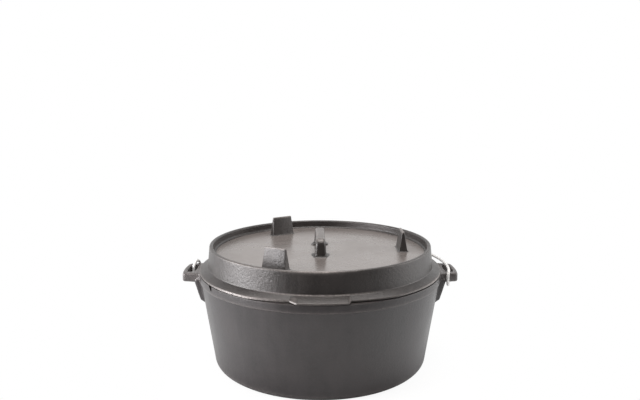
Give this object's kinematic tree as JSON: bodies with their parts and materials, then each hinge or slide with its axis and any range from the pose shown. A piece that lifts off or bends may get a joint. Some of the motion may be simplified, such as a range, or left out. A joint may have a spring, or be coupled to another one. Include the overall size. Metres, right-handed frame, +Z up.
{
  "type": "camp dutch oven",
  "caption": "Deep round cast-iron camp pot with loop ears and a wire bail, under a flanged lid with a coal rim, legs and a loop handle that turns over into a skillet.",
  "frame": {"origin": "centre of the pot's flat base, on the surface that it stands on", "axes": "+Z up along the pot's axis, +X towards the right ear, -Y towards the front, where the lid's tab is"},
  "size_m": [0.3776, 0.3468, 0.177],
  "materials": {
    "pot_iron": "sand-cast and oil-seasoned, satin, fine grain",
    "lid_iron": "sand-cast and oil-seasoned, satin, fine grain, worn bright along the edges",
    "bail_steel": "bright drawn wire"
  },
  "bodies": {
    "pot": {"pot": "pot_iron"},
    "lid": {"lid": "lid_iron"},
    "bail": {"bail": "bail_steel"}
  },
  "joints": [
    {"name": "lid_lift", "type": "slide", "parent": "pot", "child": "lid", "axis": [0, 0, 1], "range_m": [0, 0.04]},
    {"name": "bail_swing", "type": "hinge", "parent": "pot", "child": "bail", "pos_m": [-0.0008, 0, 0.1175], "axis": [0.9921, -0.1254, 0], "range_deg": [-2, 182]}
  ]
}
